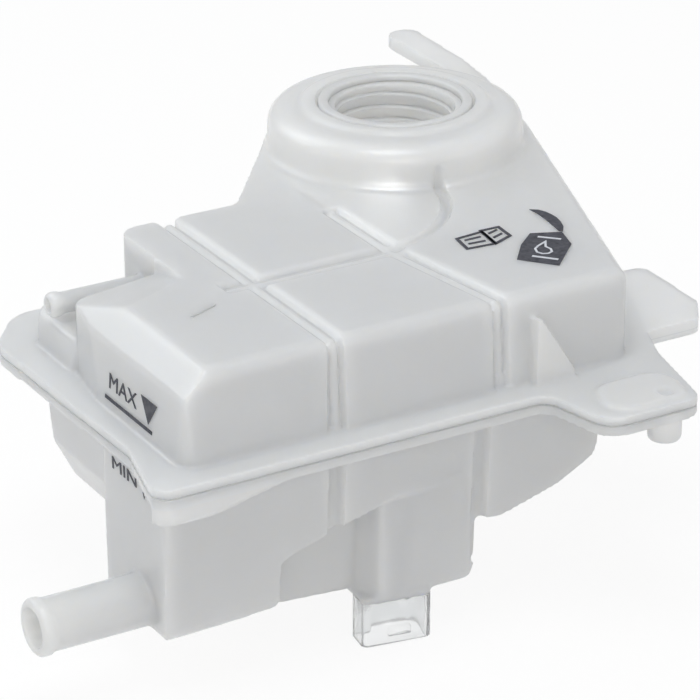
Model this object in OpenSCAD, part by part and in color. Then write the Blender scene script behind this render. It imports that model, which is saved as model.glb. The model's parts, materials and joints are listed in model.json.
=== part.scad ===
// Coolant expansion tank: two moulded half shells joined at a flange, with two level-sensor pins.
// Lengths are in millimetres. The tank is drawn from its front-left corner at the top of the flange,
// and then moved so that the origin lies on the locating pin's axis, where the pin leaves the flange.

/* [Upper shell] */
// Height of the top face above the flange
top_h = 33; // [28:1:45]
// Length of the front wall
front_l = 178; // [168:1:190]
// Depth from the front wall to the back wall
body_d = 123; // [118:1:130]
// Distance from the front wall to the middle of the cross groove
cross_y = 58.5; // [54:0.5:66]
// Distance from the left wall to the middle of the first groove
first_x = 61; // [55:1:64]
// Distance from the left wall to the middle of the second groove, behind the cross groove
second_x = 117; // [112:1:121]
// How far the second groove runs to the right on its way to the front wall
second_slant = 9; // [4:0.5:12]
// Distance from the left wall to the left end of the cross groove
cross_start = 49; // [45:1:53]
// Distance from the front wall to the rear end of the second groove
groove_end = 102; // [96:1:108]
// How far the back-left cell is set in from the left wall
step_in = 41; // [36:1:46]
// How far the left wall leans in below its chamfer
lean = 1.5; // [0.5:0.5:3]
// Width of the chamfer along the top of the left wall
chamfer_w = 9.5; // [6:0.5:11]
// Height of the chamfer
chamfer_h = 9; // [6:0.5:11]
// Distance from the front wall to the back of the shoulder behind the front-left cell
shoulder_y = 92; // [86:1:95]
// Tilt of the shoulder's top, in degrees
shoulder_tilt = 15; // [8:1:18]
// Width of the grooves
groove_w = 6; // [4:0.5:7]
// Depth of the grooves
groove_d = 2.5; // [1.5:0.5:3.5]
// Rounding of the long top edges
edge_r = 5; // [3:0.5:6]
// Rounding of the groove edges
groove_r = 2.4; // [1:0.2:2.4]
// Radius of the curved groove beside the neck
arc_r = 50; // [46:1:52]
// Height of the low box at the back left
low_box_h = 12; // [8:1:15]

/* [Walls] */
// Wall thickness
wall = 2.6; // [2:0.1:3]
// Thickness of the inner baffles
baffle_t = 2; // [1.5:0.1:3]
// Diameter of the flow holes in the baffles
flow_d = 12; // [8:1:14]

/* [Flange] */
// Thickness of each half of the flange
flange_t = 3.5; // [3:0.5:4]
// Width of the flange outside the wall
flange_w = 12; // [10:1:14]
// Width of the flange beside the front-left pocket
narrow_w = 6; // [5:0.5:10]
// Height of the skirt at the front-left corner
skirt_h = 13; // [9:1:16]
// Thickness of the right tab
tab_t = 6; // [4.5:0.5:7]

/* [Filler neck] */
// Distance of the neck's axis to the left of the front wall's right end
neck_in = 7.5; // [6:0.5:12]
// Distance of the neck's axis from the front wall
neck_y = 146; // [143:1:149]
// Radius of the pedestal under the neck
pedestal_r = 48.5; // [46:0.5:49]
// Height of the pedestal above the top face
pedestal_h = 16; // [14:0.5:18]
// Rounding of the pedestal's top edge
pedestal_edge = 7; // [5:0.5:8]
// Hollow rounding at the pedestal's foot
pedestal_foot = 3.5; // [2:0.5:4]
// Outer radius of the collar
collar_r = 36; // [35:0.5:38]
// Height of the collar above the pedestal
collar_h = 2; // [1.5:0.5:5]
// Inner radius of the collar
rim_r = 30; // [29:0.5:31]
// Depth of the ledge below the collar's rim
rim_h = 2.4; // [2:0.1:4]
// Radius of the threaded bore for the cap
thread_r = 22.5; // [21:0.5:24]
// Depth of the threaded bore below the ledge
thread_l = 17; // [14:0.5:18]
// Radius of the hole that the cap seals
seal_r = 20.5; // [18:0.5:20.5]

/* [Bleed nipple] */
// Radius of the nipple
nipple_r = 3.9; // [3.2:0.1:4.2]
// Radius of the nipple's end bead
nipple_bead_r = 4.6; // [4.4:0.1:5]
// Radius of the nipple's bore
nipple_bore_r = 2.2; // [1.5:0.1:2.5]
// Distance of the nipple's axis from the front wall
nipple_y = 104; // [98:1:108]
// Height of the nipple's axis above the flange
nipple_z = 19; // [17:0.5:22]
// Length of the nipple outside the wall
nipple_l = 37; // [32:1:40]

/* [Lower shell] */
// Depth of the front-left pocket below the flange
left_pocket_h = 67; // [60:1:70]
// Depth of the middle pocket below the flange
mid_pocket_h = 69.5; // [66:0.5:74]
// Depth of the right pocket below the flange
right_pocket_h = 50; // [44:1:56]
// How far the lower front wall leans back over its height
front_lean = 4; // [2:0.5:6]
// Depth of the back bowl below the flange
back_bowl_h = 56; // [50:1:60]
// How far the middle pocket is set back from the front wall
mid_set_back = 16; // [12:1:20]
// How far the front-left pocket stands out to the left
pocket_out = 5; // [3:1:7]

/* [Hose spigot] */
// Radius of the spigot
spigot_r = 9.4; // [8.5:0.1:10]
// Radius of the spigot's end bead
spigot_bead_r = 10.2; // [10:0.1:11]
// Radius of the spigot's bore
spigot_bore_r = 7; // [6:0.1:7.2]
// Length of the spigot outside the pocket
spigot_l = 41; // [32:1:45]
// Distance of the spigot's axis from the front wall
spigot_y = 20; // [18:1:24]
// Depth of the spigot's axis below the flange
spigot_z = 55; // [50:1:56]

/* [Level sensor] */
// Distance of the sensor chamber's front-left edge from the left wall
chamber_x = 79.5; // [76:0.5:83]
// Length of the sensor chamber along the front
chamber_l = 41.5; // [38:0.5:46]
// Depth of the sensor chamber from front to back
chamber_w = 34; // [28:1:38]
// How far the chamber hangs below the middle pocket
chamber_drop = 2.5; // [1:0.5:4]
// Distance of the connector's middle to the right of the chamber's front-left edge
plug_in = 7.5; // [6.5:0.5:9]
// Distance of the connector's middle from the front wall
plug_y = 8.5; // [8:0.5:11]
// Turn of the connector, seen from above, in degrees
plug_turn = 9; // [0:1:12]
// Length of the connector shroud
plug_l = 26; // [24:1:28]
// Depth of the connector shroud
plug_w = 12; // [10:0.5:13]
// Height of the connector shroud
plug_h = 17; // [15:1:20]
// Wall of the connector shroud
plug_wall = 1.5; // [1.2:0.1:2]
// Distance between the two sensor pins
pin_gap = 11.6; // [9:0.1:12]
// Radius of a sensor pin
pin_r = 1.25; // [1:0.05:1.5]
// Length of a sensor pin inside the connector
pin_out = 4.5; // [4:0.5:9]
// Height of the probe columns above the chamber's floor
column_h = 24; // [18:1:30]
// Radius of a probe column
column_r = 3.2; // [2.8:0.1:3.6]
// Length of the bare tip of a sensor pin
tip_l = 6; // [4:0.5:8]

/* [Lug and locating pin] */
// Distance of the locating pin to the left of the front wall's right end
locate_in = 5.5; // [3:0.5:8]
// Distance of the locating pin in front of the front wall
locate_y = 31; // [28:0.5:34]
// Radius of the locating pin
locate_r = 6; // [4.5:0.1:6.5]
// Length of the locating pin
locate_l = 10; // [8:0.5:14]

/* [Hidden] */
$fn = 64;
arc_steps = 5;                 // chords in one small rounded corner of an outline
big_steps = 16;                // chords in one large one
big_r = 20;                    // smallest radius of a large corner
reach = 400;                   // longer than the tank in every direction
right_slope = [0.36, 1];       // direction of the slanted right wall, seen from above
left_in = 2;                   // root of the left wall, seen from the flange's corner
half_groove = groove_w / 2;
slant = atan2(second_slant, cross_y);
neck_x = front_l - neck_in;
locate_x = front_l - locate_in;
plug_x = chamber_x + plug_in;
right_bay = front_l - second_x;
bulge_r = pedestal_r + 1;      // rounding of the body behind the neck
back_y = neck_y + bulge_r;     // rearmost line of the body behind the neck
pedestal_top = top_h + pedestal_h;
collar_top = pedestal_top + collar_h;
ledge_z = collar_top - rim_h;
seat_z = ledge_z - thread_l;
chamber_floor = -mid_pocket_h - chamber_drop;
milky = [0.87, 0.89, 0.90, 0.85];

function unit(v) = v / norm(v);
function right_x(y) = front_l + right_slope.x * y;

// One corner of an outline, rounded by the third number of its point
function corner(p, q, s) =
    let (u = unit([p.x - q.x, p.y - q.y]), v = unit([s.x - q.x, s.y - q.y]), half = acos(u * v) / 2)
    q[2] == 0 ? [[q.x, q.y]] :
    let (
        at = [q.x, q.y],
        middle = at + unit(u + v) * q[2] / sin(half),
        first = at + u * q[2] / tan(half) - middle,
        turn = (180 - 2 * half) * sign(u.y * v.x - u.x * v.y),
        start = atan2(first.y, first.x),
        steps = q[2] < big_r ? arc_steps : big_steps
    )
    [for (i = [0:steps]) let (angle = start + turn * i / steps)
        middle + q[2] * [cos(angle), sin(angle)]];
function rounded(o) = let (n = len(o))
    [for (i = [0:n - 1]) each corner(o[(i + n - 1) % n], o[i], o[(i + 1) % n])];

// An outline moved inwards by g, with its corners' radii following
function turn_side(p, q, s) = sign((q.x - p.x) * (s.y - q.y) - (q.y - p.y) * (s.x - q.x));
function shrink(o, g) = let (n = len(o)) [for (i = [0:n - 1])
    let (
        p = o[(i + n - 1) % n], q = o[i], s = o[(i + 1) % n],
        a = unit([p.y - q.y, q.x - p.x]), b = unit([q.y - s.y, s.x - q.x]),
        moved = [q.x, q.y] + (a + b) * g / (1 + a * b)
    )
    [moved.x, moved.y, q[2] == 0 ? 0 : max(0.4, q[2] - g * turn_side(p, q, s))]];

module plan(o, low, high) { translate([0, 0, low]) linear_extrude(high - low) polygon(rounded(o)); }
module along_x(o, from = -reach, to = reach) {
    translate([from, 0, 0]) rotate([90, 0, 90]) linear_extrude(to - from) polygon(rounded(o));
}
module along_y(o, from = -reach, to = reach) {
    translate([0, to, 0]) rotate([90, 0, 0]) linear_extrude(to - from) polygon(rounded(o));
}
module box_from(low, high) { translate(low) cube(high - low); }

// Outline of the body above the flange, seen from above
bulge_left = [neck_x - 24, back_y];
bulge_right = [right_x(back_y), back_y];
body_outline = [
    [left_in, 0, 6],
    [front_l, 0, 9],
    [bulge_right.x, bulge_right.y, bulge_r],
    [bulge_left.x, bulge_left.y, bulge_r],
    [neck_x - 81, body_d, 8],
    [step_in, body_d, 7],
    [step_in, shoulder_y, 3],
    [left_in + 5, shoulder_y, 9],
    [left_in, cross_y + 2, 14]
];

// The whole upper body inset by g, with its long top edges rounded
module upper_form(g, floor_z) {
    side = edge_r - min(g, edge_r - 1);
    top = top_h - g;
    difference() {
        intersection() {
            plan(shrink(body_outline, g), floor_z, top);
            along_y([[left_in + g - 1, floor_z - 1, 0], [reach, floor_z - 1, 0], [reach, top, 0],
                     [left_in + g + lean + chamfer_w, top, side],
                     [left_in + g + lean, top_h - chamfer_h - 0.4 * g, 4], [left_in + g, 0, 0]]);
            along_x([[g, floor_z - 1, 0], [body_d + reach, floor_z - 1, 0], [body_d + reach, top, 0],
                     [g + 2, top, side], [g, 2, 0]]);
            right_edge(g, side, floor_z);
        }
        shoulder_cut(g);
    }
}

// Keeps what lies left of the slanted right wall, and rounds its top edge
module right_edge(g, side, floor_z) {
    angle = atan2(right_slope.y, right_slope.x) - 90;
    translate([front_l, 0, 0]) rotate([0, 0, angle])
        along_y([[-reach, floor_z - 1, 0], [-g, floor_z - 1, 0], [-g, 2, 0],
                 [-g - 1, top_h - g, side - 1], [-reach, top_h - g, 0]]);
}

// What lies above the tilted top of the shoulder
module shoulder_cut(g) {
    turn = 23;
    intersection() {
        translate([left_in + 6, cross_y, top_h - g / cos(shoulder_tilt)]) rotate([0, 0, turn])
            rotate([-shoulder_tilt, 0, 0]) translate([-reach / 2, 0, 0]) cube(reach);
        box_from([-1, cross_y - 8, -1], [step_in + g, shoulder_y + 1, reach]);
    }
}

// Keeps what lies on one side of a groove's edge, with the top edge rounded
module beside(x, side, g, r, floor_z) {
    low = side > 0 ? x : -reach;
    high = side > 0 ? reach : x;
    along_y([[low, floor_z, 0], [high, floor_z, 0], [high, top_h - g, side > 0 ? 0 : r],
             [low, top_h - g, side > 0 ? r : 0]]);
}

// The same for the second groove, which turns where it meets the cross groove
module beside_turned(x, side, g, r, floor_z) {
    intersection() {
        box_from([-reach, cross_y, -reach], [reach, reach, reach]);
        beside(x, side, g, r, floor_z);
    }
    intersection() {
        box_from([-reach, -reach, -reach], [reach, cross_y, reach]);
        translate([x, cross_y, 0]) rotate([0, 0, slant]) beside(0, side, g, r, floor_z);
    }
}

// The left, middle and right strips of the top between the grooves
module strips(g, floor_z) {
    r = g == 0 ? groove_r : 0;
    gap = half_groove + g;
    intersection() {
        beside(first_x - gap, -1, g, r, floor_z);
        plan([[-1, -1, 0], [first_x - gap - r, -1, 0], [first_x - gap, g + r, r], [first_x - gap, reach, 0],
              [-1, reach, 0]], floor_z, reach);
    }
    intersection() {
        beside(first_x + gap, 1, g, r, floor_z);
        beside_turned(second_x - gap, -1, g, r, floor_z);
        box_from([first_x, g, floor_z], [reach, reach, reach]);
    }
    beside_turned(second_x + gap, 1, g, r, floor_z);
    box_from([second_x - 2 * gap, groove_end + g, floor_z], [second_x + 2 * gap, reach, reach]);
}

// The front and back rows beside the cross groove, joined left of its end and right of the second groove
module rows(g, floor_z) {
    r = g == 0 ? groove_r : 0;
    front = cross_y - half_groove - g;
    rear = cross_y + half_groove + g;
    along_x([[-1, floor_z, 0], [front, floor_z, 0], [front, top_h - g, r], [-1, top_h - g, 0]]);
    along_x([[rear, floor_z, 0], [reach, floor_z, 0], [reach, top_h - g, 0], [rear, top_h - g, r]]);
    box_from([-1, -1, floor_z], [cross_start - g, reach, reach]);
    box_from([second_x, -1, floor_z], [reach, reach, reach]);
}

module cells(g, floor_z) {
    intersection() {
        upper_form(g, floor_z);
        strips(g, floor_z);
        rows(g, floor_z);
    }
}

// The curved groove, a quarter ring round a point in the back-middle cell
arc_middle = [second_x - 5, cross_y + arc_r + 1];
arc_half = 2;
arc_depth = 2;
module quarter_ring(inner, outer, low, high) {
    intersection() {
        translate([arc_middle.x, arc_middle.y, low]) difference() {
            cylinder(h = high - low, r = outer);
            translate([0, 0, -1]) cylinder(h = high - low + 2, r = inner);
        }
        box_from([second_x, -1, low - 1], [arc_middle.x + reach, arc_middle.y + 12, high + 1]);
    }
}

// The curved groove in the top, and its end that climbs the pedestal
module arc_groove() {
    climb = 9;
    difference() {
        quarter_ring(arc_r - arc_half, arc_r + arc_half, top_h - arc_depth, top_h + climb);
        translate([neck_x, neck_y, 0]) cylinder(h = reach, r = pedestal_r - 1.2, $fn = 96);
    }
}

// Outline of the flange, with the lug for the locating pin
lug_front = -locate_y - locate_r - 2.6;
flange_outline = [
    [-flange_w - 2.5, -flange_w + 1, 6],
    [front_l - 41, -flange_w + 1, 6],
    [front_l - 35, lug_front, 10],
    [front_l + 3.5, lug_front, 6],
    [front_l + 12, -2, 6],
    [right_x(62) + 15, 62, 6],
    [right_x(80) + flange_w - 2, 80, 6],
    [bulge_right.x + flange_w + 2, back_y + flange_w, bulge_r + flange_w],
    [bulge_left.x - 7, back_y + flange_w, bulge_r + flange_w],
    [neck_x - 86, body_d + flange_w + 7, 12],
    [left_in + 6, body_d + flange_w + 8, 16],
    [-flange_w + 4, body_d - 1, 14],
    [-narrow_w - 1, 64, 0],
    [-narrow_w, 24, 8]
];

module flange_half(low, high) { plan(flange_outline, low, high); }

module upper_outer() {
    below = -flange_t - 2;
    cells(0, below);
    upper_form(groove_d, below);
    flange_half(-flange_t, 0);
    low_box(0);
    pedestal();
    rear_arm();
    lug_gusset();
    nipple_body();
}

// Low box between the back-left cell and the flange
module low_box(g) {
    front = shoulder_y - 6;
    back = body_d - 1;
    intersection() {
        plan(shrink([[4, front, 5], [step_in + 8, front, 0], [step_in + 8, back, 0], [4, back, 12]], g),
             -flange_t - 2, low_box_h - g);
        along_y([[3 + g, -flange_t - 3, 0], [reach, -flange_t - 3, 0], [reach, low_box_h - g, 0],
                 [7 + g, low_box_h - g, g == 0 ? 4 : 2]]);
    }
}

// Pedestal and collar of the filler neck, one turned form whose foot ends flush with the body's walls
module pedestal() {
    draft = 1;
    rise = 0.5;
    fillet = 1.5;
    root = top_h - 6;
    out = pedestal_r + pedestal_foot + 0.3;
    intersection() {
        translate([neck_x, neck_y, 0]) rotate_extrude($fn = 96) polygon(rounded([
            [0, root, 0], [out, root, 0], [out, top_h, 0], [pedestal_r, top_h, pedestal_foot],
            [pedestal_r - draft / 2, pedestal_top - rise, pedestal_edge],
            [collar_r + draft / 2, pedestal_top + rise, fillet], [collar_r - draft, collar_top, 1],
            [0, collar_top, 0]
        ]));
        plan(body_outline, root - 1, reach);
    }
}

// Threaded tube that hangs from the collar's ledge, with the seal's ring at its lower end
module neck_tube() {
    low = seat_z - wall;
    translate([neck_x, neck_y, low]) cylinder(h = ledge_z - low, r = thread_r + wall, $fn = 96);
}

module neck_bores() {
    translate([neck_x, neck_y, 0]) {
        translate([0, 0, ledge_z]) cylinder(h = collar_h + 1, r = rim_r);
        translate([0, 0, seat_z]) cylinder(h = thread_l + 1, r = thread_r);
        cylinder(h = ledge_z, r = seal_r);
    }
}

// Hollow of the pedestal round the threaded tube
module pedestal_hollow() {
    low = top_h - 2 * wall;
    roof = pedestal_top - wall;
    side = pedestal_r - wall;
    translate([neck_x, neck_y, 0]) rotate_extrude($fn = 96) polygon(rounded([
        [0, low, 0], [side - 2, low, 0], [side - 2, roof, pedestal_edge - wall], [0, roof, 0]
    ]));
}

// Flat arm behind the neck
module rear_arm() {
    arm_w = 13;
    arm_l = 74;
    spread = 2;
    right = neck_x + pedestal_r + 2;
    plan([[right - arm_w, neck_y + 6, 0], [right - 4, neck_y + 6, 0], [right, neck_y + 32, 0],
          [right + spread, neck_y + arm_l, 5], [right + spread - arm_w, neck_y + arm_l, 5]],
         pedestal_top - 7, pedestal_top - 1.5);
}

// Sloping web between the front wall and the lug
module lug_gusset() {
    start = front_l - 40.5;
    foot = start + 16;
    web = 4;
    along_y([[start, -1, 0], [foot, -1, 0], [foot, 3, 0], [start + 2, top_h - 8.5, 0],
             [start, top_h - 8.5, 0]], -web, 1);
}

// Low pad on the lug, with a round recess above the locating pin
module lug_pad() {
    pad_h = 1.2;
    rear = -flange_w - 3;
    front = lug_front + 3;
    plan([[front_l - 25, rear, 8], [front_l - 31, front, 8], [front_l, front, 5], [front_l + 5, rear, 8]],
         -1, pad_h);
}

// Flat tab at the right, level with the top of the flange
module right_tab() {
    difference() {
        plan([[front_l + 14, 14.5, 0], [front_l + 41, 14.5, 5], [front_l + 50, 28, 6], [front_l + 51.5, 64, 5],
              [front_l + 34, 66, 0]], -tab_t, 0);
        plan(flange_outline, -reach, -flange_t);
    }
}

// A turned barb or barrel along -X, drawn from its root
module barrel(r, bead_r, l, bead_l) {
    rotate([0, -90, 0]) rotate_extrude() polygon([
        [0, -wall - 2], [r, -wall - 2], [r, l - bead_l], [bead_r, l - bead_l + 1], [bead_r, l - 1.2],
        [bead_r - 1.2, l], [0, l]
    ]);
}

module nipple_body() {
    translate([step_in, nipple_y, nipple_z]) barrel(nipple_r, nipple_bead_r, nipple_l, 5);
}

module nipple_bore() {
    translate([step_in - nipple_l - 1, nipple_y, nipple_z]) rotate([0, 90, 0])
        cylinder(h = nipple_l + wall + 6, r = nipple_bore_r);
}

// Space inside the upper shell
module upper_inner() {
    below = -flange_t - 3;
    cells(wall, below);
    upper_form(groove_d + wall, below);
    low_box(wall);
}

// Baffles under the grooves, open at the flow holes
module baffles(low, high) {
    half = baffle_t / 2;
    difference() {
        intersection() {
            union() {
                box_from([first_x - half, 0, low], [first_x + half, body_d, high]);
                box_from([second_x - half, cross_y - half, low], [second_x + half, body_d, high]);
                translate([second_x, cross_y, 0]) rotate([0, 0, slant])
                    box_from([-half, -cross_y - 10, low], [half, 1, high]);
                box_from([cross_start - 4, cross_y - half, low], [second_x, cross_y + half, high]);
                quarter_ring(arc_r - half, arc_r + half, low, high);
                quarter_ring(arc_r - arc_half - wall, arc_r + arc_half + wall, top_h - arc_depth - wall, high);
            }
            upper_form(wall / 2, low);
        }
        for (y = [cross_y / 2, (cross_y + body_d) / 2])
            translate([0, y, high / 3]) rotate([0, 90, 0]) cylinder(h = second_x + 15, d = flow_d);
        translate([(first_x + second_x) / 2, 0, high / 3]) rotate([-90, 0, 0]) cylinder(h = body_d, d = flow_d);
        translate([arc_middle.x, arc_middle.y, high / 3]) rotate([0, 90, -45])
            cylinder(h = arc_r + 10, d = flow_d);
    }
}

module upper_shell() {
    color(milky) union() {
        difference() {
            union() {
                difference() {
                    upper_outer();
                    upper_inner();
                    pedestal_hollow();
                }
                baffles(-flange_t, top_h - wall / 2);
                neck_tube();
                lug_pad();
            }
            arc_groove();
            neck_bores();
            nipple_bore();
            translate([locate_x, -locate_y, 0]) cylinder(h = 5, r = locate_r / 2);
            box_from([-reach, -reach, -reach], [reach, reach, -flange_t]);
        }
        right_tab();
    }
}

// Pockets of the lower shell, each inset by g
module left_pocket(g) {
    depth = 48;
    right = first_x - 21 - g;
    intersection() {
        along_y([[g - pocket_out, 0, 0], [g - pocket_out + 1, g - left_pocket_h, 5],
                 [right, g - left_pocket_h + 4, 3], [right, -46, 0],
                 [first_x - 5, -38, 0], [first_x - 5, 0, 0]], g + 1, depth - g);
        along_x([[g, 0, 0], [g + front_lean, g - left_pocket_h, 8], [depth - g, g - left_pocket_h, 5],
                 [depth - g, 0, 0]]);
        plan([[g - pocket_out, g, 5], [reach, g, 0], [reach, depth - g, 0], [g - pocket_out, depth - g, 4]],
             -reach, 0);
    }
}

// Keeps what lies behind the leaning front wall
module leaning_front(g) {
    along_x([[g, 0, 0], [g + front_lean, -left_pocket_h, 0], [reach, -left_pocket_h, 0], [reach, 0, 0]]);
}

// The middle pocket: a shallow front part whose floor rises to the right, and a deep part set back behind it
module middle_pocket(g) {
    start = first_x - 21 + g;
    end = second_x - g / 2;
    back = 100;
    intersection() {
        along_y([[start, 0, 0], [start, g - 45, 0], [first_x + 23, g - 32, 0], [end, g - 32, 0], [end, 0, 0]],
                g, mid_set_back + 8);
        leaning_front(g);
    }
    intersection() {
        along_x([[0, 0, 0], [0, g - mid_pocket_h, 0], [back - 5 - g, g - mid_pocket_h, 12], [back - g, 0, 0]],
                start, end);
        plan([[start, mid_set_back + 1.5 + g, 2], [chamber_x, mid_set_back - 3.5 + g, 0],
              [end, mid_set_back - 3.5 + g, 0], [end, back - g, 0], [start, back - g, 4]], -reach, 0);
    }
}

module right_pocket(g) {
    start = second_x - 4 + g;
    back = 110;
    intersection() {
        along_y([[start, 0, 0], [start, g - right_pocket_h, 0],
                 [second_x + 0.2 * right_bay, g - right_pocket_h - 0.5, 6],
                 [second_x + 0.57 * right_bay - g, g - right_pocket_h + 6, 8],
                 [second_x + 0.82 * right_bay - g, g - right_pocket_h + 14, 8],
                 [front_l - 7 - g, 0, 0]], g, back - g);
        leaning_front(g);
        along_x([[0, 0, 0], [0, -reach, 0], [back - 6 - g, -reach, 0], [back - g, 0, 0]]);
    }
}

module back_bowl(g) {
    front = 36;
    back = body_d + 4;
    floor_z = g - back_bowl_h;
    intersection() {
        along_y([[g - 0.5, 0, 0], [g - 0.5, -12, 8], [g + 3.5, -32, 12], [g + 18, floor_z, 8],
                 [second_x + 30 - g, floor_z, 14], [second_x + 44 - g, 0, 0]], front, back);
        along_x([[front + g, 0, 0], [front + 2 + g, floor_z, 3], [back - 10 - g, floor_z, 14],
                 [back - 1 - g, 0, 0]]);
        plan(shrink([[-3, front, 0], [reach, front, 0], [reach, back, 0], [step_in - 7, back, 16],
                     [-3, shoulder_y + 5, 22]], g), -reach, 0);
    }
}

module neck_bowl(g) {
    bowl_h = 36;
    translate([neck_x, neck_y, 0]) rotate_extrude() polygon([
        [0, g - bowl_h], [pedestal_r - 16 - g, g - bowl_h], [pedestal_r - 8 - g, g - bowl_h + 4],
        [pedestal_r - 3 - g, g - bowl_h + 13], [pedestal_r - 1 - g, 0], [0, 0]
    ]);
}

// Box-like chamber round the level sensor, open to the middle pocket
module sensor_chamber(g) {
    front = 2;
    back = front + chamber_w;
    right = chamber_x + chamber_l;
    top = -30;
    low = chamber_floor + g;
    intersection() {
        plan(shrink([[chamber_x - 5.5, mid_set_back - 2.5, 0], [chamber_x, front + 1, 2],
                     [right, front - 1, 10], [right, back, 6], [chamber_x - 5.5, back, 0]], g), low, top);
        along_y([[chamber_x - 10, top, 0], [chamber_x - 10, low, 0], [right - 2 - g, low, 9],
                 [right - g, top, 0]]);
        along_x([[front + g - 2, top, 0], [front + g - 0.5, low, 4], [back - g, low, 6], [back - g, top, 0]]);
    }
}

module pockets(g) {
    left_pocket(g);
    middle_pocket(g);
    right_pocket(g);
    back_bowl(g);
    neck_bowl(g);
    sensor_chamber(g);
}

// Upright grooves in the front wall of the lower shell, grown by g on the inside
module front_grooves(g) {
    depth = groove_d + g;
    for (x = [first_x, second_x + 2])
        along_x([[-5, g, 0], [depth, g, 0], [depth + front_lean, -left_pocket_h, 0], [-5, -left_pocket_h, 0]],
                x - half_groove - g, x + half_groove + g);
}

// Skirt that hangs at the front-left corner of the flange
module corner_skirt() {
    end = -4;
    intersection() {
        difference() {
            plan(flange_outline, -skirt_h, -flange_t);
            plan(shrink(flange_outline, 3), -skirt_h - 1, -2 * flange_t);
            box_from([-reach, end, -reach], [reach, reach, -2 * flange_t]);
        }
        along_y([[-flange_w - 9, 0, 0], [-flange_w - 9, -skirt_h, 0], [8, -skirt_h, 0],
                 [36, -2 * flange_t, 0], [36, 0, 0]], -reach / 2, end);
    }
}

// Moves and turns to the connector's middle
module at_plug() { translate([plug_x, plug_y, 0]) rotate([0, 0, -plug_turn]) children(); }

module probe_columns() {
    floor_top = chamber_floor + wall;
    at_plug() {
        for (side = [-1, 1])
            translate([side * pin_gap / 2, 0, floor_top - 1]) cylinder(h = column_h + 1, r = column_r);
        box_from([-pin_gap / 2, -1, floor_top - 1], [pin_gap / 2, 1, floor_top + column_h - 6]);
    }
}

function plug_outline(g, r) = [[g - plug_l / 2, g - plug_w / 2, r], [plug_l / 2 - g, g - plug_w / 2, r],
                               [plug_l / 2 - g, plug_w / 2 - g, r], [g - plug_l / 2, plug_w / 2 - g, r]];

module connector_shroud() {
    low = chamber_floor - plug_h;
    latch = 4;
    at_plug() difference() {
        union() {
            plan(plug_outline(0, 2.5), low, chamber_floor + 1.5);
            box_from([-latch, -plug_w / 2 - 2, low + latch], [latch, 0, low + latch + 3]);
        }
        plan(plug_outline(plug_wall, 1.5), low - 1, chamber_floor);
    }
}

module spigot_body() {
    translate([-pocket_out + 0.5, spigot_y, -spigot_z]) barrel(spigot_r, spigot_bead_r, spigot_l, 5);
}

module spigot_bore() {
    translate([-pocket_out - spigot_l - 1, spigot_y, -spigot_z]) rotate([0, 90, 0])
        cylinder(h = spigot_l + wall + 6, r = spigot_bore_r);
}

module locating_pin() {
    tip = 1;
    translate([locate_x, -locate_y, -2 * flange_t - locate_l]) rotate_extrude() polygon([
        [0, 0], [locate_r - tip, 0], [locate_r, tip], [locate_r, locate_l + 1], [0, locate_l + 1]
    ]);
}

module pin_holes() {
    at_plug() for (side = [-1, 1])
        translate([side * pin_gap / 2, 0, chamber_floor - 2]) cylinder(h = reach / 4, r = pin_r);
}

module lower_shell() {
    color(milky) difference() {
        union() {
            difference() {
                union() {
                    difference() { pockets(0); front_grooves(0); }
                    plan(flange_outline, -2 * flange_t, -flange_t);
                    corner_skirt();
                    spigot_body();
                }
                difference() { pockets(wall); front_grooves(wall); }
            }
            probe_columns();
            connector_shroud();
            locating_pin();
        }
        spigot_bore();
        pin_holes();
        box_from([-reach, -reach, -flange_t], [reach, reach, reach]);
    }
}

module sensor_pin(side) {
    point = 0.4;
    low = chamber_floor - pin_out;
    high = chamber_floor + wall + column_h + tip_l;
    color("dimgray") at_plug() translate([side * pin_gap / 2, 0, low]) rotate_extrude() polygon([
        [0, 0], [pin_r - point, 0], [pin_r, point], [pin_r, high - low - point], [pin_r - point, high - low],
        [0, high - low]
    ]);
}

// Moves the drawing so that the locating pin's root is the origin
module from_pin() { translate([-locate_x, locate_y, 2 * flange_t]) children(); }

from_pin() upper_shell();
from_pin() lower_shell();
from_pin() sensor_pin(-1);  // left_sensor_pin
from_pin() sensor_pin(1);  // right_sensor_pin
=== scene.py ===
# Coolant expansion tank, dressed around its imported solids
import bpy, json, math
from mathutils import Matrix, Vector

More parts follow.
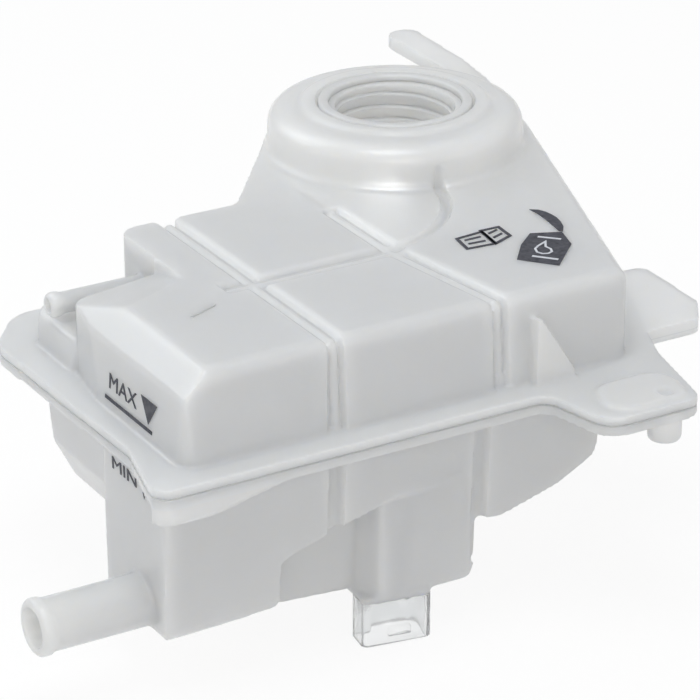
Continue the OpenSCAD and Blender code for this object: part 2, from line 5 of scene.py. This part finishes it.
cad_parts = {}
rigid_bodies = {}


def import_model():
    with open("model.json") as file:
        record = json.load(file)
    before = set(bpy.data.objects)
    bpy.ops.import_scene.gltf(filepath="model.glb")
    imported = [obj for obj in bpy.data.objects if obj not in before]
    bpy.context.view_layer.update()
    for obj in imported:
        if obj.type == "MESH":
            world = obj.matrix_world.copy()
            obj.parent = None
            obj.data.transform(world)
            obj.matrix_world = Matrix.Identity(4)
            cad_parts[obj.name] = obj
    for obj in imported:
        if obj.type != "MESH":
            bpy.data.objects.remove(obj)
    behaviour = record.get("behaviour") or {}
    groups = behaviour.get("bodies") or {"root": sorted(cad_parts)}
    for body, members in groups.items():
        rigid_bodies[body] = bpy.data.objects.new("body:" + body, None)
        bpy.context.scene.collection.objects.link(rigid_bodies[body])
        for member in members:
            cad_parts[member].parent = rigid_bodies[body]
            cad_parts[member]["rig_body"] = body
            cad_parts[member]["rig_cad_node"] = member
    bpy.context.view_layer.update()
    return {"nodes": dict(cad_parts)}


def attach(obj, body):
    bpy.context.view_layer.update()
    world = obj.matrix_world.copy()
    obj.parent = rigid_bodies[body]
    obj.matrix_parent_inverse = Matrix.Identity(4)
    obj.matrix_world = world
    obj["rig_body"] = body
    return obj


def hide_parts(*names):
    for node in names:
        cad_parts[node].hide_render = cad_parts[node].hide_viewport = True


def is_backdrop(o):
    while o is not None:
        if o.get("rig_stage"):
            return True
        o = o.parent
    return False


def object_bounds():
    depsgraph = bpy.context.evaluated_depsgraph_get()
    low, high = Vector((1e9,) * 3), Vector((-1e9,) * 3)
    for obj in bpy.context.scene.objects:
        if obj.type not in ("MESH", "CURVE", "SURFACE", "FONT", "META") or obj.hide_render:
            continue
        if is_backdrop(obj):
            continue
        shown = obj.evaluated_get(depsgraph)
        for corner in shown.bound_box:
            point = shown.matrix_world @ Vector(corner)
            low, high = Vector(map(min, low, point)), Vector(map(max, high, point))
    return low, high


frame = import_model()
mm = 0.001

# the tank's front-left corner at the top of the flange, seen from the locating pin
tankCorner = Vector((-172.5, 31, 7))


def at(x, y, z):
    return (tankCorner + Vector((x, y, z))) * mm


print("stage 1: frame loaded")

# camera at the photograph's angle
cameraSet = {
    "place": (-0.6419, -0.8802, 0.5197),  # metres
    "azimuth": -30.4,                     # degrees, 0 looks along +Y
    "elevation": 24.6,
    "lens": 180.0,
    "sensor": 36.0,
    "nearest": 0.05,
}


def makeCamera(s):
    data = bpy.data.cameras.new("camera")
    camera = bpy.data.objects.new("camera", data)
    bpy.context.scene.collection.objects.link(camera)
    azimuth, elevation = math.radians(s["azimuth"]), math.radians(s["elevation"])
    camera.location = s["place"]
    camera.rotation_euler = (math.pi / 2 - elevation, 0, azimuth)
    data.lens = s["lens"]
    data.sensor_width = s["sensor"]
    data.clip_start = s["nearest"]
    bpy.context.scene.camera = camera


makeCamera(cameraSet)


# small helpers for work in object and edit mode
def only(piece):
    bpy.ops.object.select_all(action="DESELECT")
    piece.select_set(True)
    bpy.context.view_layer.objects.active = piece


def editAll(piece):
    only(piece)
    bpy.ops.object.mode_set(mode="EDIT")
    bpy.ops.mesh.select_all(action="SELECT")


# turns the faces of the piece in edit mode outwards, and leaves edit mode
def faceOutwards():
    bpy.ops.mesh.select_all(action="SELECT")
    bpy.ops.mesh.normals_make_consistent(inside=False)
    bpy.ops.object.mode_set(mode="OBJECT")


def applied(piece, kind, **values):
    only(piece)
    modifier = piece.modifiers.new(kind.lower(), kind)
    for key, value in values.items():
        setattr(modifier, key, value)
    bpy.ops.object.modifier_apply(modifier=modifier.name)


def placed(piece):
    only(piece)
    bpy.ops.object.transform_apply(location=True, rotation=True, scale=True)


def smoothed(piece, degrees):
    only(piece)
    bpy.ops.object.shade_smooth_by_angle(angle=math.radians(degrees))


def dressed(piece, name, material):
    piece.name = name
    piece.data.materials.clear()
    piece.data.materials.append(material)
    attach(piece, "root")


# node groups that the materials share: a soft-edged band as a mask, and a cloudy mask
def newGroup(name, wants, gives):
    group = bpy.data.node_groups.new(name, "ShaderNodeTree")
    for label, kind, value in wants:
        socket = group.interface.new_socket(name=label, in_out="INPUT", socket_type=kind)
        if value is not None:
            socket.default_value = value
    for label, kind in gives:
        group.interface.new_socket(name=label, in_out="OUTPUT", socket_type=kind)
    return group, group.nodes.new("NodeGroupInput"), group.nodes.new("NodeGroupOutput")


def bandGroup():
    group, start, end = newGroup("band", [
        ("Value", "NodeSocketFloat", 0.0), ("Low", "NodeSocketFloat", 0.0),
        ("High", "NodeSocketFloat", 1.0), ("Soft", "NodeSocketFloat", 0.001)],
        [("Mask", "NodeSocketFloat")])
    nodes, links = group.nodes, group.links
    both = nodes.new("ShaderNodeMath")
    both.operation = "MINIMUM"
    # the mask rises over the soft width above Low, and falls over the same width below High
    for edge, operation, slot in (("Low", "ADD", 0), ("High", "SUBTRACT", 1)):
        inner, ramp = nodes.new("ShaderNodeMath"), nodes.new("ShaderNodeMapRange")
        inner.operation = operation
        links.new(start.outputs[edge], inner.inputs[0])
        links.new(start.outputs["Soft"], inner.inputs[1])
        links.new(start.outputs["Value"], ramp.inputs["Value"])
        links.new(start.outputs[edge], ramp.inputs["From Min"])
        links.new(inner.outputs[0], ramp.inputs["From Max"])
        links.new(ramp.outputs["Result"], both.inputs[slot])
    links.new(both.outputs[0], end.inputs["Mask"])
    return group


cloudSet = {"darkest": 0.3, "lightest": 0.7}  # the noise's values that become Low and High


def cloudGroup(s):
    group, start, end = newGroup("cloud", [
        ("Place", "NodeSocketVector", None), ("Scale", "NodeSocketFloat", 40.0),
        ("Detail", "NodeSocketFloat", 3.0),
        ("Low", "NodeSocketFloat", 0.0), ("High", "NodeSocketFloat", 1.0)],
        [("Mask", "NodeSocketFloat")])
    nodes, links = group.nodes, group.links
    noise, spread = nodes.new("ShaderNodeTexNoise"), nodes.new("ShaderNodeMapRange")
    spread.inputs["From Min"].default_value = s["darkest"]
    spread.inputs["From Max"].default_value = s["lightest"]
    spread.clamp = False
    links.new(start.outputs["Place"], noise.inputs["Vector"])
    links.new(start.outputs["Scale"], noise.inputs["Scale"])
    links.new(start.outputs["Detail"], noise.inputs["Detail"])
    links.new(noise.outputs["Fac"], spread.inputs["Value"])
    links.new(start.outputs["Low"], spread.inputs["To Min"])
    links.new(start.outputs["High"], spread.inputs["To Max"])
    links.new(spread.outputs["Result"], end.inputs["Mask"])
    return group


band, cloud = bandGroup(), cloudGroup(cloudSet)


def startMaterial(name):
    material = bpy.data.materials.new(name)
    material.use_nodes = True
    tree = material.node_tree
    place = tree.nodes.new("ShaderNodeTexCoord").outputs["Object"]
    return material, tree, tree.nodes["Principled BSDF"], place


def setInput(tree, socket, value):
    if isinstance(value, bpy.types.NodeSocket):
        tree.links.new(value, socket)
    else:
        socket.default_value = value


def useGroup(tree, group, **values):
    node = tree.nodes.new("ShaderNodeGroup")
    node.node_tree = group
    for key, value in values.items():
        setInput(tree, node.inputs[key], value)
    return node.outputs[0]


def mixColour(tree, mask, first, second):
    node = tree.nodes.new("ShaderNodeMix")
    node.data_type = "RGBA"
    tree.links.new(mask, node.inputs["Factor"])
    sockets = [socket for socket in node.inputs if socket.type == "RGBA"]
    for socket, value in zip(sockets, (first, second)):
        setInput(tree, socket, (*value, 1) if isinstance(value, tuple) else value)
    return [socket for socket in node.outputs if socket.type == "RGBA"][0]


def driftingColour(tree, place, s, first, second):
    return mixColour(tree, useGroup(tree, cloud, Place=place, Scale=s["toneScale"]), first, second)


def driftingRoughness(tree, place, s, shader):
    low, high = s["roughness"]
    drift = useGroup(tree, cloud, Place=place, Scale=s["roughScale"], Low=low, High=high)
    tree.links.new(drift, shader.inputs["Roughness"])


def cloudBump(tree, place, s, before=None):
    node = tree.nodes.new("ShaderNodeBump")
    node.inputs["Distance"].default_value = s["distance"]
    node.inputs["Strength"].default_value = s["strength"]
    height = useGroup(tree, cloud, Place=place, Scale=s["scale"], Detail=s["detail"])
    tree.links.new(height, node.inputs["Height"])
    if before:
        tree.links.new(before, node.inputs["Normal"])
    return node.outputs["Normal"]


def setShader(shader, values):
    for key, value in values.items():
        shader.inputs[key].default_value = value


# natural polypropylene: milky and a little warm, with painted light at the thin flange, lighter and cooler
# there as if light shone through it
milkySet = {
    "body": (0.93, 0.925, 0.90),
    "cloudy": (0.95, 0.95, 0.94),
    "toneScale": 28.0,
    # heights in metres over the flange's underside
    # painted light: this band tints the flange lighter and bluer, as if it were lit through from behind
    "flange": {"tone": (0.94, 0.955, 0.96), "low": -0.0004, "high": 0.0074, "soft": 0.0004},
    "joint": {"tone": (0.84, 0.86, 0.87), "low": 0.0032, "high": 0.0038, "soft": 0.00015},
    "roughness": (0.30, 0.38),
    "roughScale": 90.0,
    "sink": {"scale": 16.0, "detail": 0.5, "distance": 0.0004, "strength": 0.5},
    "grain": {"scale": 420.0, "detail": 0.0, "distance": 0.000012, "strength": 0.5},
    "shader": {
        "Subsurface Weight": 1.0,
        "Subsurface Radius": (1.0, 0.95, 0.86),
        "Subsurface Scale": 0.010,  # metres that light travels inside the wall
        "Transmission Weight": 0.35,
        "Coat Weight": 0.35,
        "Coat Roughness": 0.16,
        "IOR": 1.49,
    },
}


def milkyPlastic(s):
    material, tree, shader, place = startMaterial("milkyPlastic")
    axes = tree.nodes.new("ShaderNodeSeparateXYZ")
    tree.links.new(place, axes.inputs[0])
    colour = driftingColour(tree, place, s, s["body"], s["cloudy"])
    # the flange band paints light shining through the thin flange; the joint band darkens the weld line
    for zone in (s["flange"], s["joint"]):
        mask = useGroup(tree, band, Value=axes.outputs["Z"], Low=zone["low"], High=zone["high"],
                        Soft=zone["soft"])
        colour = mixColour(tree, mask, colour, zone["tone"])
    tree.links.new(colour, shader.inputs["Base Color"])
    driftingRoughness(tree, place, s, shader)
    grain = cloudBump(tree, place, s["grain"], cloudBump(tree, place, s["sink"]))
    tree.links.new(grain, shader.inputs["Normal"])
    setShader(shader, s["shader"])
    return material


clearSet = {
    "tint": (0.99, 0.995, 1.0),
    "haze": (0.96, 0.975, 0.985),
    "toneScale": 60.0,
    "roughness": (0.08, 0.16),
    "roughScale": 120.0,
    "waves": {"scale": 150.0, "detail": 3.0, "distance": 0.0001, "strength": 0.3},
    "shader": {"Transmission Weight": 0.8, "IOR": 1.3},
}


def clearPlastic(s):
    material, tree, shader, place = startMaterial("clearPlastic")
    tree.links.new(driftingColour(tree, place, s, s["tint"], s["haze"]), shader.inputs["Base Color"])
    driftingRoughness(tree, place, s, shader)
    tree.links.new(cloudBump(tree, place, s["waves"]), shader.inputs["Normal"])
    setShader(shader, s["shader"])
    return material


steelSet = {
    "bright": (0.30, 0.29, 0.28),
    "dark": (0.10, 0.10, 0.11),
    "toneScale": 300.0,
    "roughness": (0.32, 0.5),
    "roughScale": 800.0,
    "shader": {"Metallic": 1.0},
}


def pinSteel(s):
    material, tree, shader, place = startMaterial("pinSteel")
    tree.links.new(driftingColour(tree, place, s, s["bright"], s["dark"]), shader.inputs["Base Color"])
    driftingRoughness(tree, place, s, shader)
    setShader(shader, s["shader"])
    return material


inkSet = {
    "solid": (0.010, 0.011, 0.022),
    "thin": (0.045, 0.048, 0.065),
    "paleSolid": (0.62, 0.64, 0.68),
    "paleThin": (0.48, 0.50, 0.55),
    "toneScale": 420.0,
    "roughness": (0.35, 0.55),
    "roughScale": 600.0,
}


def printInk(s, name, solid, thin):
    material, tree, shader, place = startMaterial(name)
    tree.links.new(driftingColour(tree, place, s, solid, thin), shader.inputs["Base Color"])
    driftingRoughness(tree, place, s, shader)
    return material


plastic, clear, steel = milkyPlastic(milkySet), clearPlastic(clearSet), pinSteel(steelSet)
ink = printInk(inkSet, "printInk", inkSet["solid"], inkSet["thin"])
paleInk = printInk(inkSet, "paleInk", inkSet["paleSolid"], inkSet["paleThin"])
print("stage 2: materials mixed")


# the two moulded shells: each solid is cast in a fine skin, whose edges are worn round and leave a weld line
shellSet = {
    "merge": 0.00002,
    "grain": 0.00085,       # size of the skin's meshes
    "wear": 0.5,            # how far each pass rounds the edges
    "rounds": 2,            # passes that round the edges
    "upperKeep": 188000,    # triangles kept
    "lowerKeep": 152000,
    "smoothBelow": 35,      # degrees between faces
    "clearBelow": -0.0652,  # the clear connector starts here
    "overlap": 0.0005,
}


# a solid's mesh as a piece of its own, with its loose triangles joined
def copyOfNode(node, name, s):
    piece = frame["nodes"][node].copy()
    piece.data = frame["nodes"][node].data.copy()
    piece.name = name
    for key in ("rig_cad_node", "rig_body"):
        if key in piece:
            del piece[key]
    piece.parent = None
    piece.matrix_world = Matrix.Identity(4)
    bpy.context.scene.collection.objects.link(piece)
    editAll(piece)
    bpy.ops.mesh.remove_doubles(threshold=s["merge"])
    bpy.ops.object.mode_set(mode="OBJECT")
    return piece


def copied(piece, name):
    twin = piece.copy()
    twin.data = piece.data.copy()
    twin.name = name
    bpy.context.scene.collection.objects.link(twin)
    return twin


# cut level at a height, and closed there with a flat face
def partedAt(piece, height, keepAbove):
    editAll(piece)
    bpy.ops.mesh.bisect(plane_co=(0, 0, height), plane_no=(0, 0, 1), clear_inner=keepAbove,
                        clear_outer=not keepAbove)
    bpy.ops.mesh.select_mode(type="EDGE")
    bpy.ops.mesh.select_all(action="DESELECT")
    bpy.ops.mesh.select_non_manifold()
    bpy.ops.mesh.fill(use_beauty=False)
    faceOutwards()


def triangles(piece):
    return sum(len(face.vertices) - 2 for face in piece.data.polygons)


def castSkin(piece, s, keep):
    applied(piece, "REMESH", mode="VOXEL", voxel_size=s["grain"], adaptivity=0.0)
    applied(piece, "SMOOTH", factor=s["wear"], iterations=s["rounds"])
    applied(piece, "DECIMATE", ratio=min(1, keep / triangles(piece)))


def finishShell(piece, name, s, material, node=None):
    smoothed(piece, s["smoothBelow"])
    if node:
        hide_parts(node)
    print("  ", name, triangles(piece), "triangles")
    dressed(piece, name, material)


def castShells(s):
    upper, lower = copyOfNode("upper_shell", "upperShell", s), copyOfNode("lower_shell", "lowerShell", s)
    shroud = copied(lower, "connectorShroud")
    partedAt(shroud, s["clearBelow"], False)
    partedAt(lower, s["clearBelow"] - s["overlap"], True)
    castSkin(upper, s, s["upperKeep"])
    castSkin(lower, s, s["lowerKeep"])
    finishShell(upper, "upperShell", s, plastic, "upper_shell")
    finishShell(lower, "lowerShell", s, plastic, "lower_shell")
    finishShell(shroud, "connectorShroud", s, clear)
    return upper, lower


upperShell, lowerShell = castShells(shellSet)
for node in ("left_sensor_pin", "right_sensor_pin"):
    for slot in frame["nodes"][node].material_slots:
        slot.material = steel
print("stage 3: shells cast")


# rings in the neck start as one profile, a plane whose four corners are moved to radius and height
neckAxis = (170.5, 146.0)


def neckProfile(low, corners):
    x, y = neckAxis
    bpy.ops.mesh.primitive_plane_add(size=mm, location=at(x, y, low))
    piece = bpy.context.active_object
    for index, (radius, height) in zip(list(piece.data.polygons[0].vertices), corners):
        piece.data.vertices[index].co = (radius * mm, 0, height * mm)
    return piece


def finishRing(piece, name, s):
    placed(piece)
    applied(piece, "BEVEL", width=s["soft"] * mm, segments=s["segments"], limit_method="ANGLE",
            angle_limit=math.radians(s["bevelAbove"]))
    smoothed(piece, s["smoothBelow"])
    dressed(piece, name, plastic)


# the thread ridges: the profile wound up the bore, with both ends run out into the wall and open there
threadSet = {
    "bore": 22.5, "sunk": 0.3, "stands": 1.3, "foot": 2.0, "crest": 0.9,  # millimetres
    "start": 33.4, "pitch": 5.2, "turns": 2.5, "steps": 72,
    "runOut": 0.12,  # share of a turn
    "soft": 0.25, "segments": 2, "bevelAbove": 30, "smoothBelow": 40,
}


def makeThread(s):
    wall, crest = s["bore"] + s["sunk"], s["bore"] - s["stands"]
    piece = neckProfile(s["start"], [(wall, -s["foot"] / 2), (wall, s["foot"] / 2),
                                     (crest, s["crest"] / 2), (crest, -s["crest"] / 2)])
    steps = int(s["steps"] * s["turns"])
    applied(piece, "SCREW", angle=math.radians(360 * s["turns"]), screw_offset=s["pitch"] * s["turns"] * mm,
            steps=steps, render_steps=steps, axis="Z")
    editAll(piece)
    faceOutwards()
    for vert in piece.data.vertices:
        turned = (math.atan2(vert.co.y, vert.co.x) / math.tau) % 1
        along = round(vert.co.z / mm / s["pitch"] - turned) + turned
        end = min(along, s["turns"] - along) / s["runOut"]
        if end < 1:
            radius = math.hypot(vert.co.x, vert.co.y)
            shrink = (wall * mm + (radius - wall * mm) * max(end, 0)) / radius
            vert.co.x *= shrink
            vert.co.y *= shrink
    finishRing(piece, "neckThread", s)


# the raised sealing lip round the mouth: the profile turned once
lipSet = {
    "inner": 25.0, "outer": 29.2, "foot": 48.3, "top": 51.1, "innerDraft": 0.3, "outerDraft": 0.2,
    "steps": 128, "merge": 0.00001,
    "soft": 0.7, "segments": 4, "bevelAbove": 40, "smoothBelow": 40,
}


def makeLip(s):
    high = s["top"] - s["foot"]
    piece = neckProfile(s["foot"], [(s["inner"], 0), (s["outer"], 0), (s["outer"] - s["outerDraft"], high),
                                    (s["inner"] + s["innerDraft"], high)])
    applied(piece, "SCREW", angle=math.tau, screw_offset=0, steps=s["steps"], render_steps=s["steps"],
            axis="Z", use_merge_vertices=True, merge_threshold=s["merge"])
    editAll(piece)
    bpy.ops.mesh.remove_doubles(threshold=s["merge"])
    # where the turn starts and ends, the profile's own face may stay inside the ring
    bpy.ops.mesh.select_all(action="DESELECT")
    bpy.ops.mesh.select_mode(type="FACE")
    bpy.ops.mesh.select_interior_faces()
    bpy.ops.mesh.delete(type="FACE")
    faceOutwards()
    finishRing(piece, "neckLip", s)


makeThread(threadSet)
makeLip(lipSet)
print("stage 4: neck thread and lip turned")


# marks: drawn flat in millimetres, laid on their wall, pressed onto its surface and given a thickness
markSet = {
    "away": 0.002,         # metres from the wall before pressing
    "inkThick": 0.00022,
    "lift": 0.00006,
    "letterSteps": 4,      # steps in a letter's curve
}


def flatShape(points, stroke=0):
    bpy.ops.mesh.primitive_circle_add(vertices=len(points), radius=mm, fill_type="NGON")
    piece = bpy.context.active_object
    for corner, (x, y) in zip(piece.data.vertices, points):
        corner.co = (x * mm, y * mm, 0)
    if stroke:
        editAll(piece)
        bpy.ops.mesh.inset(thickness=stroke * mm, use_even_offset=True)
        bpy.ops.mesh.delete(type="FACE")
        bpy.ops.object.mode_set(mode="OBJECT")
    return piece


def flatWord(word, left, low, width, height):
    bpy.ops.object.text_add()
    text = bpy.context.active_object
    text.data.body = word
    text.data.resolution_u = markSet["letterSteps"]
    only(text)
    bpy.ops.object.convert(target="MESH")
    piece = bpy.context.active_object
    xs, ys = [v.co.x for v in piece.data.vertices], [v.co.y for v in piece.data.vertices]
    for vert in piece.data.vertices:
        vert.co.x = (left + (vert.co.x - min(xs)) / (max(xs) - min(xs)) * width) * mm
        vert.co.y = (low + (vert.co.y - min(ys)) / (max(ys) - min(ys)) * height) * mm
        vert.co.z = 0
    return piece


def pressed(parts, name, material, shell, origin, side, thick=markSet["inkThick"], lift=markSet["lift"]):
    piece = parts[0]
    only(piece)
    for part in parts[1:]:
        part.select_set(True)
    if len(parts) > 1:
        bpy.ops.object.join()
    right, up = Vector(side["right"]), Vector(side["up"])
    out = right.cross(up)
    turn = Matrix((right, up, out)).transposed().to_4x4()
    piece.matrix_world = Matrix.Translation(origin + out * markSet["away"]) @ turn
    placed(piece)
    alongX = abs(out.x) > abs(out.z)
    applied(piece, "SHRINKWRAP", target=shell, wrap_method="PROJECT", use_project_x=alongX,
            use_project_z=not alongX, use_negative_direction=not alongX, use_positive_direction=alongX,
            offset=lift)
    applied(piece, "SOLIDIFY", thickness=thick, offset=0)
    dressed(piece, name, material)


# on the left wall a drawing runs forwards and up, and its points give the distance behind the tank's corner
# and the height over the flange
wallSet = {"right": (0, -1, 0), "up": (0, 0, 1), "start": 60.0}
maxSet = {
    "word": "MAX", "behind": 54.0, "low": 8.3, "width": 20.0, "height": 5.5, "wall": 0.0,
    "rule": [(56.8, 3.6), (22.4, 3.6), (22.4, 4.9), (56.8, 4.9)],
    "arrow": [(31, 15), (25.3, 6.4), (19.5, 15)],
}
minSet = {
    "word": "MIN", "behind": 38.5, "low": -13.4, "width": 17.6, "height": 4.4, "wall": -9.0,
    "arrow": [(17.2, -11.2), (15.4, -15.3), (13.6, -11.2)],
}


def wallShape(points):
    return flatShape([(wallSet["start"] - y, z) for y, z in points])


def levelMark(s, name, shell):
    parts = [wallShape(s["rule"])] if "rule" in s else []
    parts.append(flatWord(s["word"], wallSet["start"] - s["behind"], s["low"], s["width"], s["height"]))
    parts.append(wallShape(s["arrow"]))
    pressed(parts, name, ink, shell, at(s["wall"], wallSet["start"], 0), wallSet)


levelMark(maxSet, "maxMark", upperShell)
levelMark(minSet, "minMark", lowerShell)

# on the top the drawings lie in plan
topSet = {"right": (1, 0, 0), "up": (0, 1, 0), "high": 33.0}


def onTop(parts, name, material, **thick):
    pressed(parts, name, material, upperShell, at(0, 0, topSet["high"]), topSet, **thick)


# an open book: two framed pages with two bars each
bookSet = {
    "stroke": 1.25,
    "pages": [
        [(140.6, 55.3), (138.8, 44.6), (151.0, 43.6), (152.8, 56.5)],
        [(151.8, 57.4), (150.0, 43.2), (159.6, 47.3), (160.4, 57.2)],
    ],
    "bars": [
        [(142.8, 52.6), (142.6, 51.5), (149.4, 51.7), (149.6, 52.8)],
        [(142.3, 49.3), (142.1, 48.2), (148.9, 47.7), (149.1, 48.8)],
        [(153.4, 53.7), (153.3, 52.5), (157.9, 54.1), (158.0, 55.2)],
        [(152.9, 49.7), (152.8, 48.5), (157.6, 50.3), (157.7, 51.5)],
    ],
}
bookParts = [flatShape(page, bookSet["stroke"]) for page in bookSet["pages"]]
bookParts += [flatShape(bar) for bar in bookSet["bars"]]
onTop(bookParts, "bookMark", ink)

# a solid plate, with a plain drop between two level lines, pale on it
badgeSet = {
    "plate": [(166.1, 45.8), (157.7, 38.6), (149.4, 28.4), (159.2, 16.4), (173.5, 30.3), (176.7, 41.2)],
    "drop": [(158.4, 30.0), (159.4, 27.6), (161.6, 26.6), (163.9, 27.5), (165.0, 30.0), (164.6, 32.6),
             (167.6, 37.4), (162.2, 35.0), (159.6, 33.2)],
    "dropStroke": 0.8,
    "levels": [
        [(155.0, 27.6), (161.2, 20.4), (162.1, 21.2), (155.9, 28.4)],
        [(166.3, 41.2), (172.2, 35.2), (173.0, 36.0), (167.1, 42.0)],
    ],
    "paleThick": 0.0004,
    "paleLift": 0.0001,
}
onTop([flatShape(badgeSet["plate"])], "badgeMark", ink)
dropParts = [flatShape(badgeSet["drop"], badgeSet["dropStroke"])]
dropParts += [flatShape(level) for level in badgeSet["levels"]]
onTop(dropParts, "badgeDrop", paleInk, thick=badgeSet["paleThick"], lift=badgeSet["paleLift"])

crescentSet = {
    "inner": [(178.2, 64.7), (178.5, 60.1), (178.1, 54.3), (177.2, 47.8), (176.2, 42.6)],
    "outer": [(177.3, 41.4), (180.0, 45.2), (181.6, 49.4), (182.5, 53.2), (182.5, 56.8), (182.0, 60.0),
              (180.8, 62.7)],
}
onTop([flatShape(crescentSet["inner"] + crescentSet["outer"])], "crescentMark", ink)

# a short dash cast in the plastic of the front-left cell
dashSet = {"outline": [(28.4, 41.8), (39.8, 46.6), (39.4, 47.6), (28.0, 42.8)], "thick": 0.0009}
onTop([flatShape(dashSet["outline"])], "castDash", plastic, thick=dashSet["thick"])
print("stage 5: marks printed")


# floor and world: the camera and what the plastic mirrors or lets through see the floor near white
stageSet = {"drop": 0.0003, "size": 6.0, "grey": 0.9, "roughness": 0.9, "seen": 0.9, "world": 0.62}


def seenPart(nodes, links, share):
    path = nodes.new("ShaderNodeLightPath")
    seen = path.outputs["Is Camera Ray"]
    for ray in ("Is Glossy Ray", "Is Transmission Ray"):
        either = nodes.new("ShaderNodeMath")
        either.operation = "MAXIMUM"
        links.new(seen, either.inputs[0])
        links.new(path.outputs[ray], either.inputs[1])
        seen = either.outputs[0]
    part = nodes.new("ShaderNodeMath")
    part.operation = "MULTIPLY"
    part.inputs[1].default_value = share
    links.new(seen, part.inputs[0])
    return part.outputs[0]


def makeStage(s):
    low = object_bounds()[0][2] - s["drop"]
    bpy.ops.mesh.primitive_plane_add(size=s["size"], location=(0, 0, low))
    floor = bpy.context.active_object
    floor.name = "floor"
    material = bpy.data.materials.new("floorWhite")
    material.use_nodes = True
    nodes, links = material.node_tree.nodes, material.node_tree.links
    shader = nodes["Principled BSDF"]
    setShader(shader, {"Base Color": (s["grey"], s["grey"], s["grey"], 1), "Roughness": s["roughness"]})
    glow, mix = nodes.new("ShaderNodeEmission"), nodes.new("ShaderNodeMixShader")
    links.new(seenPart(nodes, links, s["seen"]), mix.inputs[0])
    links.new(shader.outputs[0], mix.inputs[1])
    links.new(glow.outputs[0], mix.inputs[2])
    links.new(mix.outputs[0], nodes["Material Output"].inputs["Surface"])
    floor.data.materials.append(material)
    floor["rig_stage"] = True
    world = bpy.data.worlds.new("world")
    world.use_nodes = True
    bpy.context.scene.world = world
    setShader(world.node_tree.nodes["Background"], {"Color": (1, 1, 1, 1), "Strength": s["world"]})


# three wide lamps, and one small lamp inside the neck
lampSets = {
    "topLamp": {"place": (-0.25, -0.15, 1.1), "target": (0.0, 0.15, 0), "size": 0.6, "power": 4.9,
                "colour": (0.94, 0.98, 1.0)},
    "backLamp": {"place": (-0.6, 0.9, 0.7), "target": (-0.03, 0.1, 0), "size": 0.9, "power": 3.4,
                 "colour": (0.93, 0.975, 1.0)},
    "frontLamp": {"place": (-0.65, -1.3, 0.5), "target": (-0.03, 0.1, 0), "size": 0.8, "power": 5.0,
                  "colour": (1.0, 0.965, 0.92)},
}
neckLampSet = {
    "height": 6.0,   # millimetres over the flange
    "radius": 0.01,  # metres
    "power": 0.03,
}


def newLamp(name, kind, power, place):
    data = bpy.data.lights.new(name, kind)
    data.energy = power
    lamp = bpy.data.objects.new(name, data)
    bpy.context.scene.collection.objects.link(lamp)
    lamp.location = place
    return lamp, data


def wideLamp(name, s):
    lamp, data = newLamp(name, "AREA", s["power"], s["place"])
    data.shape = "DISK"
    data.size = s["size"]
    data.color = s["colour"]
    lamp.rotation_euler = (Vector(s["target"]) - Vector(s["place"])).to_track_quat("-Z", "Y").to_euler()


def neckLamp(s):
    lamp, data = newLamp("neckLamp", "POINT", s["power"], at(*neckAxis, s["height"]))
    data.shadow_soft_size = s["radius"]
    lamp.visible_camera = False


makeStage(stageSet)
for name, values in lampSets.items():
    wideLamp(name, values)
neckLamp(neckLampSet)
bpy.context.scene.view_settings.view_transform = "Standard"
print("stage 6: stage and lamps placed")
